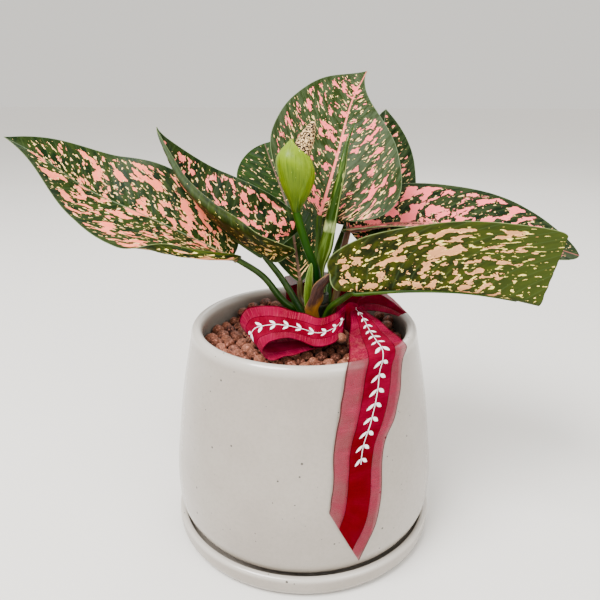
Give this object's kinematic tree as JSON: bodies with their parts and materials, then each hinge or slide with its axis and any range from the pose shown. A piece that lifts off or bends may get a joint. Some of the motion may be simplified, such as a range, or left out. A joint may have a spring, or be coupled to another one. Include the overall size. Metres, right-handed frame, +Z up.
{
  "type": "potted plant",
  "caption": "Variegated aglaonema with broad folded leaves and a flower bud, in a round glazed pot on a saucer, with a ribbon at its crown.",
  "frame": {"origin": "middle of the saucer's underside", "axes": "+Z up, -Y towards the side that the flower bud and the ribbon's long tail face"},
  "size_m": [0.3273, 0.164, 0.2786],
  "materials": {
    "glaze": "pale warm grey glaze with fine dark specks",
    "soil": "reddish brown fired clay pebbles over soil",
    "cane": "green living stem",
    "leaf": "dark green leaf with pink and cream blotches, satin",
    "new_leaf": "pale green leaf, satin",
    "spathe": "yellow-green, satin",
    "spadix": "cream, knobbly",
    "bract_green": "pale green, satin",
    "bract_brown": "dry, golden brown",
    "ribbon": "crimson satin with sheer margins"
  },
  "bodies": {
    "root": {"saucer": "glaze", "pot": "glaze", "growing_medium": "soil", "stem": "cane", "leaf_left": "leaf", "leaf_left_inner": "leaf", "leaf_back_left": "leaf", "leaf_centre": "leaf", "leaf_back_right": "leaf", "leaf_right": "leaf", "leaf_front_right": "leaf", "leaf_new": "new_leaf", "spathe": "spathe", "spadix": "spadix", "bract_green": "bract_green", "bract_brown": "bract_brown", "ribbon": "ribbon"}
  },
  "joints": []
}
